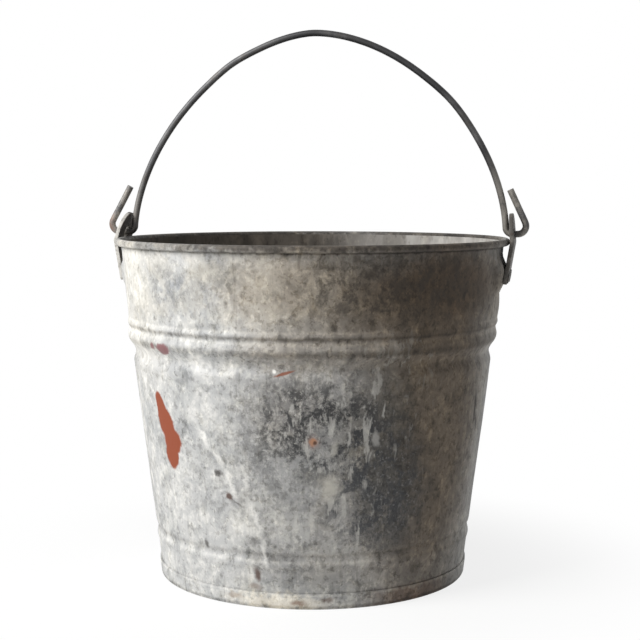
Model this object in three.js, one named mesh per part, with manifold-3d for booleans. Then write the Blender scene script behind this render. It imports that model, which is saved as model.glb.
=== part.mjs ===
// Galvanised steel pail: a swaged and seamed wall with a wired rim, a bottom folded round the wall's
// foot, two riveted strap ears and a wire bail that swings in them.
// Millimetres, +Z up. The ears lie on the X axis, and the origin is the middle of the foot ring,
// on the floor.
import * as THREE from "three";
import { mergeVertices } from "three/addons/utils/BufferGeometryUtils.js";
import Module from "manifold-3d";

const wasm = await Module();
wasm.setup();

// Overall sizes of the pail
const HEIGHT = 256;
const RIM_DIAMETER = 300;
const FOOT_DIAMETER = 231.7;
const SWAGE_BELOW_RIM = 71;
const SWAGE_NARROWER_THAN_RIM = 22;

// Sheet and wire
const WALL_SHEET = 0.7;
const BOTTOM_SHEET = 0.9;
const RIM_WIRE_DIAMETER = 3.4;
const BAIL_WIRE_DIAMETER = 5;
const SEAT_GAP = 0.3;
const CURL_END_DEGREES = -110;

// Beads rolled into the wall: how far each crest stands out (or in), its half width, and its place
const MAIN_BEAD = { above: -1.5, halfWidth: 7.5, relief: 1.7 };
const SMALL_BEAD = { above: 8.6, halfWidth: 3.8, relief: 0.9 };
const MAIN_GROOVE = { above: -12.7, halfWidth: 8.5, relief: -2.4 };
const LOW_BEAD_HEIGHT = 31;
const LOW_BEAD = { above: 0, halfWidth: 4.5, relief: 0.6 };
const LOW_GROOVE = { above: 6.5, halfWidth: 6, relief: -0.8 };

// Lock seam down the back of the wall
const SEAM_WIDTH = 8;
const SEAM_RELIEF = 1.1;

// Wall near the ears: drawn out flat against each ear's leg by its rivets, pressed in under the right ear
const EAR_PAD_HALF_WIDTH = 19;
const EAR_PAD_HALF_HEIGHT = 4;
const EAR_PAD_FADE = 13;
const DENT_BELOW_RIM = 52;
const DENT_DEPTH = 1.2;
const DENT_HALF_WIDTH = 50;
const DENT_HALF_HEIGHT = 18;

// Bottom and the foot ring folded from its edge
const BOTTOM_RISE = 9;
const FOOT_RING_HEIGHT = 11.5;
const FOOT_FOLD_GAP = 0.4;
const BOTTOM_CORNER_RADIUS = 3;
const FOOT_CORNER_RADIUS = 0.7;

// Ears
const EAR_THICKNESS = 3;
const EAR_WIDTH = 34;
const EAR_DROP = 33.5;
const EAR_RISE = 19;
const EAR_FOOT_STAND_OFF = 3.2;
const EAR_RIM_GAP = 0.8;
const EAR_BEND_RADIUS = 3.5;
const EAR_CORNER_RADIUS = 2.5;
const EAR_EYE_DIAMETER = 9;

// Rivets
const RIVET_SHANK_DIAMETER = 4.4;
const RIVET_HEAD_DIAMETER = 10;
const RIVET_HEAD_HEIGHT = 0.6;
const RIVET_TAIL_DIAMETER = 8;
const RIVET_TAIL_HEIGHT = 1.5;
const RIVET_SPACING = 18;
const RIVET_ABOVE_EAR_FOOT = 5.5;
const RIVET_HEAD_FLAT_DIAMETER = 8;
const RIVET_TAIL_FLAT_DIAMETER = 4.8;
const RIVET_EDGE_HEIGHT = 0.45;
const RIVET_HOLE_LENGTH = 24;

// Bail
const BAIL_RISE = 150.5;
const BAIL_APEX_SHIFT = 1.2;
const BAIL_RIM_CLEARANCE = 1;
const BAIL_ARCH_START_DEGREES = 5;
const BAIL_EAR_CLEARANCE = 0.8;
const BAIL_LEG_BEND_RADIUS = 5;
const HOOK_BEND_RADIUS = 6;

// What use has bent differently at the two ends: how far the ear leans in over the rim, how the hook
// reaches past the ear, leans and ends, and how full the bail's shoulder is (2 is an ellipse)
const LEFT = {
  side: -1, label: "left", earLean: 18, hookReach: 0.8, hookLean: 29, hookLength: 30, shoulder: 1.72,
};
const RIGHT = {
  side: 1, label: "right", earLean: 4, hookReach: 2, hookLean: 25, hookLength: 27, shoulder: 1.81,
};

// Facets round the pail, its wires and its small round shapes, and steps along beads and bends
const ROUND_SEGMENTS = 48;
const WIRE_SEGMENTS = 8;
const RIVET_SEGMENTS = 12;
const HOLE_SEGMENTS = 16;
const EYE_SEGMENTS = 20;
const LOW_BEAD_STEPS = 5;
const SWAGE_STEPS = 15;
const EAR_PAD_STEPS = 6;
const CURL_STEPS = 7;
const FOLD_STEPS = 2;
const EAR_BEND_STEPS = 5;
const EAR_CORNER_STEPS = 10;
const HOOK_STEPS = 8;
const LEG_STEPS = 6;
const ARCH_STEPS = 10;
const BAIL_STEPS = 150;
const MERGE_DISTANCE = 1e-4;

// Sizes that follow from the ones above
const swageHeight = HEIGHT - SWAGE_BELOW_RIM;
const swageRadius = (RIM_DIAMETER - SWAGE_NARROWER_THAN_RIM) / 2;
const dentHeight = HEIGHT - DENT_BELOW_RIM;
const rimWireRadius = RIM_WIRE_DIAMETER / 2;
const curlRadius = rimWireRadius + SEAT_GAP + WALL_SHEET / 2;
const rollRadius = curlRadius + WALL_SHEET / 2;
const rollCentre = new THREE.Vector2(RIM_DIAMETER / 2 - rollRadius, HEIGHT - rollRadius);
const wallTopRadius = rollCentre.x - curlRadius + WALL_SHEET / 2;
const wallFootHeight = BOTTOM_SHEET + FOOT_FOLD_GAP;
const bailWireRadius = BAIL_WIRE_DIAMETER / 2;
const pivotHeight = HEIGHT + BAIL_RIM_CLEARANCE + bailWireRadius;
const earFootHeight = HEIGHT - EAR_DROP;
const earTopHeight = HEIGHT + EAR_RISE;
const earBendHeight = rollCentre.y;
const earPlaneRadius = RIM_DIAMETER / 2 + EAR_RIM_GAP + EAR_THICKNESS / 2;
const earFootRadius = coneRadius(earFootHeight) + EAR_FOOT_STAND_OFF + EAR_THICKNESS / 2;
const earLegLean = Math.atan2(earPlaneRadius - earFootRadius, earBendHeight - earFootHeight);
const earFaceOffset = EAR_THICKNESS / 2 / Math.cos(earLegLean);
const rivetHeight = earFootHeight + RIVET_ABOVE_EAR_FOOT;

function bead(height, centre, shape) {
  const offset = (height - centre - shape.above) / shape.halfWidth;
  return Math.abs(offset) < 1 ? shape.relief * Math.cos(offset * Math.PI / 2) ** 2 : 0;
}

// Outside radius of the plain wall: one cone from the foot to the swage, a steeper one to the rim
function coneRadius(height) {
  if (height < swageHeight) {
    return THREE.MathUtils.lerp(FOOT_DIAMETER / 2, swageRadius, height / swageHeight);
  }
  const share = (height - swageHeight) / (rollCentre.y - swageHeight);
  return THREE.MathUtils.lerp(swageRadius, wallTopRadius, share);
}

function wallRadius(height) {
  const swage = [MAIN_BEAD, SMALL_BEAD, MAIN_GROOVE].map((shape) => bead(height, swageHeight, shape));
  const low = [LOW_BEAD, LOW_GROOVE].map((shape) => bead(height, LOW_BEAD_HEIGHT, shape));
  return [...swage, ...low].reduce((sum, relief) => sum + relief, coneRadius(height));
}

// Heights at which the wall's section changes, with close steps across the beads and near the ears
function wallHeights(lowest, highest) {
  const heights = [lowest, highest];
  const stretches = [
    [LOW_BEAD_HEIGHT - LOW_BEAD.halfWidth, LOW_BEAD_HEIGHT + LOW_GROOVE.above + LOW_GROOVE.halfWidth,
      LOW_BEAD_STEPS],
    [swageHeight + MAIN_GROOVE.above - MAIN_GROOVE.halfWidth,
      swageHeight + SMALL_BEAD.above + SMALL_BEAD.halfWidth, SWAGE_STEPS],
    [rivetHeight - EAR_PAD_HALF_HEIGHT - EAR_PAD_FADE, rivetHeight + EAR_PAD_HALF_HEIGHT + EAR_PAD_FADE,
      EAR_PAD_STEPS],
  ];
  for (const [from, to, steps] of stretches) {
    for (let step = 0; step <= steps; step += 1) {
      heights.push(THREE.MathUtils.lerp(from, to, step / steps));
    }
  }
  return heights.filter((height) => height >= lowest && height <= highest).sort((a, b) => a - b);
}

function arc(centre, radius, from, to, steps) {
  return Array.from({ length: steps + 1 }, (_, step) => {
    const angle = THREE.MathUtils.lerp(from, to, step / steps);
    return new THREE.Vector2(centre.x + radius * Math.cos(angle), centre.y + radius * Math.sin(angle));
  });
}

// Line through the given corners, each inner corner turned on its own radius
function roundedLine(corners, radii, steps) {
  const line = [corners[0]];
  radii.forEach((radius, index) => {
    const corner = corners[index + 1];
    const back = corners[index].clone().sub(corner).normalize();
    const ahead = corners[index + 2].clone().sub(corner).normalize();
    const halfAngle = Math.acos(THREE.MathUtils.clamp(back.dot(ahead), -1, 1)) / 2;
    const inwards = back.clone().add(ahead).normalize();
    const centre = inwards.multiplyScalar(radius / Math.sin(halfAngle)).add(corner);
    const start = back.clone().multiplyScalar(radius / Math.tan(halfAngle)).add(corner).sub(centre);
    const turn = (Math.PI - 2 * halfAngle) * -Math.sign(back.cross(ahead));
    line.push(...arc(centre, radius, start.angle(), start.angle() + turn, steps));
  });
  line.push(corners[corners.length - 1]);
  return line;
}

// Outline of a sheet of even thickness bent along a line
function sheetOutline(line, thickness) {
  const left = [];
  const right = [];
  line.forEach((point, index) => {
    const before = point.clone().sub(line[Math.max(index - 1, 0)]).normalize();
    const after = line[Math.min(index + 1, line.length - 1)].clone().sub(point).normalize();
    const along = before.clone().add(after).normalize();
    const spread = thickness / 2 / Math.max(along.dot(before), along.dot(after));
    const normal = new THREE.Vector2(-along.y, along.x).multiplyScalar(spread);
    left.push(point.clone().add(normal));
    right.unshift(point.clone().sub(normal));
  });
  return [...left, ...right];
}

function mergedPositions(geometry) {
  const bare = geometry.clone();
  bare.deleteAttribute("normal");
  bare.deleteAttribute("uv");
  return mergeVertices(bare, MERGE_DISTANCE);
}

function signedVolume(geometry) {
  const position = geometry.getAttribute("position");
  const corners = [0, 1, 2].map(() => new THREE.Vector3());
  let sum = 0;
  for (let start = 0; start < geometry.index.count; start += 3) {
    corners.forEach((corner, place) => {
      corner.fromBufferAttribute(position, geometry.index.getX(start + place));
    });
    sum += corners[0].dot(corners[1].cross(corners[2])) / 6;
  }
  return sum;
}

// Closed geometry with shared corners, no collapsed triangles and every face turned outwards
function closedGeometry(geometry) {
  const merged = mergedPositions(geometry);
  const inwards = signedVolume(merged) < 0;
  const kept = [];
  for (let start = 0; start < merged.index.count; start += 3) {
    const [a, b, c] = [0, 1, 2].map((place) => merged.index.getX(start + place));
    if (a !== b && b !== c && c !== a) {
      kept.push(a, inwards ? c : b, inwards ? b : c);
    }
  }
  merged.setIndex(kept);
  return merged;
}

function toSolid(geometry) {
  const closed = closedGeometry(geometry);
  const vertProperties = new Float32Array(closed.getAttribute("position").array);
  const triVerts = new Uint32Array(closed.index.array);
  return new wasm.Manifold(new wasm.Mesh({ numProp: 3, vertProperties, triVerts }));
}

function toGeometry(solid) {
  const { vertProperties, triVerts } = solid.getMesh();
  const geometry = new THREE.BufferGeometry();
  geometry.setAttribute("position", new THREE.BufferAttribute(vertProperties, 3));
  geometry.setIndex(new THREE.BufferAttribute(triVerts, 1));
  return geometry;
}

// Section in radius and height, turned about the pail's axis
function revolve(section) {
  return closedGeometry(new THREE.LatheGeometry(section, ROUND_SEGMENTS).rotateX(Math.PI / 2));
}

function closed(outline) {
  return [...outline, outline[0].clone()];
}

// Middle of an ear's leg at a height, as a distance from the pail's axis
function earLegRadius(height) {
  return earFootRadius + (height - earFootHeight) * Math.tan(earLegLean);
}

function fade(distance, full) {
  return 1 - THREE.MathUtils.smoothstep(distance, full, full + EAR_PAD_FADE);
}

// The rivets draw the wall out flat against the ears' legs
function drawToEars(point) {
  const plain = Math.sqrt(Math.max(coneRadius(point.z) ** 2 - point.y ** 2, 0));
  const pull = Math.max(earLegRadius(point.z) - earFaceOffset - SEAT_GAP - plain, 0);
  const share = fade(Math.abs(point.y), EAR_PAD_HALF_WIDTH)
    * fade(Math.abs(point.z - rivetHeight), EAR_PAD_HALF_HEIGHT);
  point.x += Math.sign(point.x) * pull * share;
}

// A shallow dent lies under the right ear
function pressDent(point) {
  const across = Math.abs(point.y) / DENT_HALF_WIDTH;
  const up = Math.abs(point.z - dentHeight) / DENT_HALF_HEIGHT;
  if (point.x > 0 && across < 1 && up < 1) {
    point.x -= DENT_DEPTH * (Math.cos(across * Math.PI / 2) * Math.cos(up * Math.PI / 2)) ** 2;
  }
}

function workWall(geometry) {
  const position = geometry.getAttribute("position");
  const point = new THREE.Vector3();
  for (let index = 0; index < position.count; index += 1) {
    point.fromBufferAttribute(position, index);
    drawToEars(point);
    pressDent(point);
    position.setXYZ(index, point.x, point.y, point.z);
  }
  return geometry;
}

// Where a rivet of the right ear sits: its axis square to the ear's leg, its zero on the leg's outer face
function rivetPlace(end) {
  return new THREE.Matrix4()
    .makeRotationY(Math.PI / 2 + earLegLean)
    .setPosition(earLegRadius(rivetHeight) + earFaceOffset, end * RIVET_SPACING / 2, rivetHeight);
}

function rivetHole(end) {
  const radius = RIVET_SHANK_DIAMETER / 2 + SEAT_GAP;
  return new THREE.CylinderGeometry(radius, radius, RIVET_HOLE_LENGTH, HOLE_SEGMENTS)
    .rotateX(Math.PI / 2)
    .applyMatrix4(rivetPlace(end));
}

function wallGeometry() {
  const curlEnd = THREE.MathUtils.degToRad(CURL_END_DEGREES);
  const upright = wallHeights(wallFootHeight, rollCentre.y - rollRadius)
    .map((height) => new THREE.Vector2(wallRadius(height) - WALL_SHEET / 2, height));
  const curl = arc(rollCentre, curlRadius, Math.PI, curlEnd, CURL_STEPS);
  const sheet = revolve(closed(sheetOutline([...upright, ...curl], WALL_SHEET)));

  const seamHeights = wallHeights(FOOT_RING_HEIGHT + SEAM_RELIEF, HEIGHT - 2 * rollRadius - SEAM_RELIEF);
  const seamPoint = (height, relief) => new THREE.Vector2(wallRadius(height) + relief, height);
  const seamLine = (relief) => seamHeights.map((height) => seamPoint(height, relief));
  const seamRing = revolve(closed([...seamLine(SEAM_RELIEF), ...seamLine(-WALL_SHEET / 2).reverse()]));
  const seamSlot = new THREE.BoxGeometry(SEAM_WIDTH, RIM_DIAMETER, 2 * HEIGHT)
    .translate(0, RIM_DIAMETER / 2, 0);
  let solid = toSolid(workWall(sheet)).add(toSolid(seamRing).intersect(toSolid(seamSlot)));

  for (const turn of [0, Math.PI]) {
    for (const end of [-1, 1]) {
      solid = solid.subtract(toSolid(rivetHole(end).rotateZ(turn)));
    }
  }
  return toGeometry(solid);
}

function rimWireGeometry() {
  return new THREE.TorusGeometry(rollCentre.x, rimWireRadius, WIRE_SEGMENTS, ROUND_SEGMENTS)
    .translate(0, 0, rollCentre.y);
}

// Disc with its edge turned down inside the wall, round the wall's foot and up the outside
function bottomGeometry() {
  const half = BOTTOM_SHEET / 2;
  const inside = (height) => coneRadius(height) - WALL_SHEET - FOOT_FOLD_GAP - half;
  const outside = (height) => coneRadius(height) + FOOT_FOLD_GAP + half;
  const discHeight = BOTTOM_RISE + half;
  const line = roundedLine([
    new THREE.Vector2(0, discHeight),
    new THREE.Vector2(inside(discHeight), discHeight),
    new THREE.Vector2(inside(half), half),
    new THREE.Vector2(outside(half), half),
    new THREE.Vector2(outside(FOOT_RING_HEIGHT), FOOT_RING_HEIGHT),
  ], [BOTTOM_CORNER_RADIUS, FOOT_CORNER_RADIUS, FOOT_CORNER_RADIUS], FOLD_STEPS);
  return revolve(sheetOutline(line, BOTTOM_SHEET));
}

// Strap that runs from its riveted foot up past the rolled rim and stands above it with a round top
function earGeometry(lean) {
  const tabReach = earTopHeight - earBendHeight;
  const section = new THREE.Shape(sheetOutline(roundedLine([
    new THREE.Vector2(earFootRadius, earFootHeight),
    new THREE.Vector2(earPlaneRadius, earBendHeight),
    new THREE.Vector2(earPlaneRadius - tabReach * Math.tan(lean), earTopHeight),
  ], [EAR_BEND_RADIUS], EAR_BEND_STEPS), EAR_THICKNESS));
  const strap = new THREE.ExtrudeGeometry(section, { depth: EAR_WIDTH, bevelEnabled: false })
    .rotateX(Math.PI / 2)
    .translate(0, EAR_WIDTH / 2, 0);

  const half = EAR_WIDTH / 2;
  const face = new THREE.Shape();
  const cornerAcross = half - EAR_CORNER_RADIUS;
  const cornerHeight = earFootHeight + EAR_CORNER_RADIUS;
  face.moveTo(-cornerAcross, earFootHeight);
  face.absarc(cornerAcross, cornerHeight, EAR_CORNER_RADIUS, -Math.PI / 2, 0);
  face.absarc(0, earTopHeight - half, half, 0, Math.PI);
  face.absarc(-cornerAcross, cornerHeight, EAR_CORNER_RADIUS, Math.PI, 1.5 * Math.PI);
  const toFace = new THREE.Matrix4().makeBasis(
    new THREE.Vector3(0, 1, 0), new THREE.Vector3(0, 0, 1), new THREE.Vector3(1, 0, 0));
  const through = { depth: RIM_DIAMETER, bevelEnabled: false, curveSegments: EAR_CORNER_STEPS };
  const outline = new THREE.ExtrudeGeometry(face, through).applyMatrix4(toFace);

  const eyeRadius = EAR_EYE_DIAMETER / 2;
  const eye = new THREE.CylinderGeometry(eyeRadius, eyeRadius, RIM_DIAMETER / 2, EYE_SEGMENTS)
    .rotateZ(Math.PI / 2)
    .translate(RIM_DIAMETER / 2, 0, pivotHeight);
  let solid = toSolid(strap).intersect(toSolid(outline)).subtract(toSolid(eye));
  for (const end of [-1, 1]) {
    solid = solid.subtract(toSolid(rivetHole(end)));
  }
  return toGeometry(solid);
}

// Rivet along +Z with the ear's outer face at zero: a flat head outside, a hammered tail inside the wall
function rivetGeometry() {
  const tailFace = -(EAR_THICKNESS + SEAT_GAP + WALL_SHEET + SEAT_GAP);
  const shank = RIVET_SHANK_DIAMETER / 2;
  const head = RIVET_HEAD_DIAMETER / 2;
  const tail = RIVET_TAIL_DIAMETER / 2;
  const section = [
    [0, tailFace - RIVET_TAIL_HEIGHT],
    [RIVET_TAIL_FLAT_DIAMETER / 2, tailFace - RIVET_TAIL_HEIGHT],
    [tail, tailFace - RIVET_EDGE_HEIGHT],
    [tail, tailFace],
    [shank, tailFace],
    [shank, SEAT_GAP],
    [head, SEAT_GAP],
    [head, SEAT_GAP + RIVET_HEAD_HEIGHT - RIVET_EDGE_HEIGHT],
    [RIVET_HEAD_FLAT_DIAMETER / 2, SEAT_GAP + RIVET_HEAD_HEIGHT],
    [0, SEAT_GAP + RIVET_HEAD_HEIGHT],
  ].map(([radius, height]) => new THREE.Vector2(radius, height));
  return closedGeometry(new THREE.LatheGeometry(section, RIVET_SEGMENTS).rotateX(Math.PI / 2));
}

// End of the bail, from the tip of its hook through the ear to the foot of its leg
function bailEnd(end, legRadius) {
  const lean = THREE.MathUtils.degToRad(end.hookLean);
  const hookCentre = new THREE.Vector2(
    earPlaneRadius + EAR_THICKNESS / 2 + end.hookReach, pivotHeight + HOOK_BEND_RADIUS);
  const legCentre = new THREE.Vector2(legRadius + BAIL_LEG_BEND_RADIUS, pivotHeight + BAIL_LEG_BEND_RADIUS);
  const hook = arc(hookCentre, HOOK_BEND_RADIUS, lean, -Math.PI / 2, HOOK_STEPS);
  const tip = new THREE.Vector2(-Math.sin(lean), Math.cos(lean)).multiplyScalar(end.hookLength).add(hook[0]);
  const leg = arc(legCentre, BAIL_LEG_BEND_RADIUS, -Math.PI / 2, -Math.PI, LEG_STEPS);
  return [tip, tip.clone().lerp(hook[0], 0.5), ...hook, ...leg]
    .map((point) => new THREE.Vector3(end.side * point.x, 0, point.y));
}

// Half of the bail, from its hook to just short of the apex: a tall arch, flatter than an ellipse
function bailHalf(end) {
  const share = (rise) => (1 - (rise / BAIL_RISE) ** end.shoulder) ** (1 / end.shoulder);
  const shift = end.side * BAIL_APEX_SHIFT;
  const tilt = Math.tan(THREE.MathUtils.degToRad(end.earLean));
  const earFace = earPlaneRadius - EAR_THICKNESS / 2;
  const earInside = (rise) => earFace - (pivotHeight + rise - earBendHeight) * tilt;
  const room = (rise) => (earInside(rise) - BAIL_EAR_CLEARANCE - bailWireRadius - shift) / share(rise);
  const halfSpan = Math.min(room(BAIL_LEG_BEND_RADIUS), room(earTopHeight - pivotHeight));
  const archRadius = (rise) => halfSpan * share(rise) + shift;
  const arch = [];
  for (let step = 0; step < ARCH_STEPS; step += 1) {
    const degrees = THREE.MathUtils.lerp(BAIL_ARCH_START_DEGREES, 90, step / ARCH_STEPS);
    const rise = BAIL_RISE * Math.sin(THREE.MathUtils.degToRad(degrees)) ** (2 / end.shoulder);
    arch.push(new THREE.Vector3(end.side * archRadius(rise), 0, pivotHeight + rise));
  }
  return [...bailEnd(end, archRadius(BAIL_LEG_BEND_RADIUS)), ...arch];
}

function bailGeometry() {
  const apex = new THREE.Vector3(BAIL_APEX_SHIFT, 0, pivotHeight + BAIL_RISE);
  const points = [...bailHalf(LEFT), apex, ...bailHalf(RIGHT).reverse()];
  const path = new THREE.CatmullRomCurve3(points, false, "centripetal");
  const round = arc(new THREE.Vector2(), bailWireRadius, 0, 2 * Math.PI, WIRE_SEGMENTS);
  const section = new THREE.Shape(round.slice(1));
  return closedGeometry(new THREE.ExtrudeGeometry(section, { steps: BAIL_STEPS, extrudePath: path }));
}

function finish(color, roughness, metalness) {
  return new THREE.MeshStandardMaterial({ color, roughness, metalness });
}

function piece(name, geometry, material) {
  const mesh = new THREE.Mesh(geometry, material);
  mesh.name = name;
  return mesh;
}

const pail = new THREE.Group();
pail.add(piece("wall", wallGeometry(), finish(0x9b968c, 0.55, 0.8)));
pail.add(piece("rim_wire", rimWireGeometry(), finish(0x5d5853, 0.6, 0.8)));
pail.add(piece("bottom", bottomGeometry(), finish(0x8f8a80, 0.6, 0.8)));

for (const { side, label, earLean } of [LEFT, RIGHT]) {
  const fittings = new THREE.Group();
  fittings.rotation.z = side < 0 ? Math.PI : 0;
  const ear = earGeometry(THREE.MathUtils.degToRad(earLean));
  fittings.add(piece(`ear_${label}`, ear, finish(0x55524e, 0.6, 0.8)));
  for (const end of [-1, 1]) {
    const rivet = piece(`rivet_${label}_${end * side < 0 ? "front" : "back"}`, rivetGeometry(),
      finish(0x6a655e, 0.6, 0.8));
    rivet.applyMatrix4(rivetPlace(end));
    fittings.add(rivet);
  }
  pail.add(fittings);
}
pail.add(piece("bail", bailGeometry(), finish(0x4c4946, 0.5, 0.85)));

export default pail;
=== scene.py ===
import math

import bpy
from mathutils import Matrix, Vector, noise


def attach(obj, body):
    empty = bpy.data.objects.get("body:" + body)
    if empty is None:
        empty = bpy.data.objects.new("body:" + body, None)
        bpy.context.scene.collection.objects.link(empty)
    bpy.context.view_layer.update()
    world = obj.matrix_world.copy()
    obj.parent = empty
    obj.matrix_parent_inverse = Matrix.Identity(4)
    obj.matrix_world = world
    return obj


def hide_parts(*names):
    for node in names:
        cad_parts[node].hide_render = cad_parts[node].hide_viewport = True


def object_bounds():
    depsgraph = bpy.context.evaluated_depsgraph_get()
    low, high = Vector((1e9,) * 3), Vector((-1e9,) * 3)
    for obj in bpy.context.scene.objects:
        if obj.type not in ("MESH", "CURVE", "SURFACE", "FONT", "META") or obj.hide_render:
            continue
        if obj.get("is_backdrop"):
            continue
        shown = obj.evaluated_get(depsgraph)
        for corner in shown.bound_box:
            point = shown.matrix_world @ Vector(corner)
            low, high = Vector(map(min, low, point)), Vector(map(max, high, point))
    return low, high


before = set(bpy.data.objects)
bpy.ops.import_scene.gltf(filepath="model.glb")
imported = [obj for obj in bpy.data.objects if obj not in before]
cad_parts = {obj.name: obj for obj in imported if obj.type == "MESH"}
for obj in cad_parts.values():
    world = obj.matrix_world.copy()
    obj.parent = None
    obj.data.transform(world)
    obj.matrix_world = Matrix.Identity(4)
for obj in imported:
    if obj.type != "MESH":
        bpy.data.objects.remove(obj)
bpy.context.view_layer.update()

# WALL
# One sheet of 0.7 mm galvanised steel rolled to a cone and locked in a seam at the back.
# Beads are rolled into it under the rim and near the foot, and its top edge is curled over a wire.
# Years of use have dulled the zinc, run lime and rust down it, chipped it and pressed a dent in it.
MM = 0.001
FOOT_RADIUS, SWAGE_RADIUS, SWAGE_HEIGHT = 115.85, 139.0, 185.0
WALL_SHEET, CURL_RADIUS, WALL_FOOT = 0.7, 2.28, 1.3
ROLL_RADIUS, ROLL_HEIGHT = 147.3, 253.3
WALL_TOP_RADIUS = 145.3
LOW_BEAD_HEIGHT = 31.0
BEADS = [
    (SWAGE_HEIGHT - 1.5, 7.5, 1.7), (SWAGE_HEIGHT + 8.6, 3.8, 0.9), (SWAGE_HEIGHT - 12.7, 8.5, -2.4),
    (LOW_BEAD_HEIGHT, 4.5, 0.6), (LOW_BEAD_HEIGHT + 6.5, 6.0, -0.8),
]
EAR_FOOT, EAR_BEND, EAR_TOP = 222.5, 253.3, 275.0
EAR_THICKNESS, EAR_WIDTH = 3.0, 34.0
EAR_PLANE, EAR_FOOT_STAND_OFF = 152.3, 3.2
RIVET_HEIGHT = 228.0
SEAT_GAP = 0.3


def cone_radius(height):
    if height < SWAGE_HEIGHT:
        return FOOT_RADIUS + (SWAGE_RADIUS - FOOT_RADIUS) * height / SWAGE_HEIGHT
    share = (height - SWAGE_HEIGHT) / (ROLL_HEIGHT - SWAGE_HEIGHT)
    return SWAGE_RADIUS + (WALL_TOP_RADIUS - SWAGE_RADIUS) * share


def wall_radius(height):
    radius = cone_radius(height)
    for centre, half_width, relief in BEADS:
        offset = (height - centre) / half_width
        if abs(offset) < 1:
            radius += relief * math.cos(offset * math.pi / 2) ** 2
    return radius


EAR_FOOT_RADIUS = cone_radius(EAR_FOOT) + EAR_FOOT_STAND_OFF + EAR_THICKNESS / 2
EAR_LEG_LEAN = math.atan2(EAR_PLANE - EAR_FOOT_RADIUS, EAR_BEND - EAR_FOOT)
EAR_FACE = EAR_THICKNESS / 2 / math.cos(EAR_LEG_LEAN)


def ear_leg_radius(height):
    return EAR_FOOT_RADIUS + (height - EAR_FOOT) * math.tan(EAR_LEG_LEAN)


def start_piece(name):
    piece = bpy.context.object
    piece.name = piece.data.name = name
    bpy.ops.object.transform_apply(location=True, rotation=True, scale=True)
    return piece


def turned_sheet(name, section, segments):
    """A ring drawn up through the section's radii and heights, as on a spinning lathe."""
    bpy.ops.object.select_all(action="DESELECT")
    radius, height = section[0]
    bpy.ops.mesh.primitive_circle_add(vertices=segments, radius=radius * MM, location=(0, 0, height * MM))
    piece = start_piece(name)
    bpy.ops.object.mode_set(mode="EDIT")
    bpy.ops.mesh.select_mode(type="VERT")
    bpy.ops.mesh.select_all(action="SELECT")
    for next_radius, next_height in section[1:]:
        lift = (next_height - height) * MM
        bpy.ops.mesh.extrude_region_move(TRANSFORM_OT_translate={"value": (0, 0, lift)})
        grow = next_radius / radius
        bpy.ops.transform.resize(value=(grow, grow, 1), center_override=(0, 0, next_height * MM))
        radius, height = next_radius, next_height
    bpy.ops.object.mode_set(mode="OBJECT")
    return piece


def apply_modifier(piece, kind, **settings):
    modifier = piece.modifiers.new(kind.title(), kind)
    for key, value in settings.items():
        setattr(modifier, key, value)
    bpy.context.view_layer.objects.active = piece
    bpy.ops.object.modifier_apply(modifier=modifier.name)


def outward(piece):
    """Merges doubles and turns every face outwards."""
    bpy.context.view_layer.objects.active = piece
    bpy.ops.object.mode_set(mode="EDIT")
    bpy.ops.mesh.select_all(action="SELECT")
    bpy.ops.mesh.remove_doubles(threshold=1e-6)
    bpy.ops.mesh.normals_make_consistent(inside=False)
    bpy.ops.mesh.select_all(action="DESELECT")
    bpy.ops.object.mode_set(mode="OBJECT")


def shade(piece, degrees):
    bpy.ops.object.select_all(action="DESELECT")
    piece.select_set(True)
    bpy.context.view_layer.objects.active = piece
    bpy.ops.object.shade_smooth_by_angle(angle=math.radians(degrees))


def clear_selection(kind):
    """Leaves nothing selected on the active piece, so that its faces or edges can be selected in code."""
    bpy.ops.object.mode_set(mode="EDIT")
    bpy.ops.mesh.select_mode(type=kind)
    bpy.ops.mesh.select_all(action="DESELECT")
    bpy.ops.object.mode_set(mode="OBJECT")


def smooth_step(value, low, high):
    share = min(max((value - low) / (high - low), 0.0), 1.0)
    return share * share * (3 - 2 * share)


# The wall's section, with its rows close together over the beads, then the curl of the rim
PLAIN_ROW, BEAD_ROW, LAST_ROW = 3.0, 0.8, 248.0
BEADED_STRETCHES = [(25, 45), (158, 200)]
CURL_TURN, CURL_STEPS = 290, 16
wall_heights = [WALL_FOOT]
while wall_heights[-1] < LAST_ROW:
    here = wall_heights[-1]
    beaded = any(low < here < high for low, high in BEADED_STRETCHES)
    wall_heights.append(here + (BEAD_ROW if beaded else PLAIN_ROW))
wall_section = [(wall_radius(height) - WALL_SHEET / 2, height) for height in wall_heights]
for step in range(CURL_STEPS + 1):
    angle = math.radians(180 - CURL_TURN * step / CURL_STEPS)
    radius = ROLL_RADIUS + CURL_RADIUS * math.cos(angle)
    wall_section.append((radius, ROLL_HEIGHT + CURL_RADIUS * math.sin(angle)))
wall = turned_sheet("wall_sheet", wall_section, segments=288)

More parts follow.
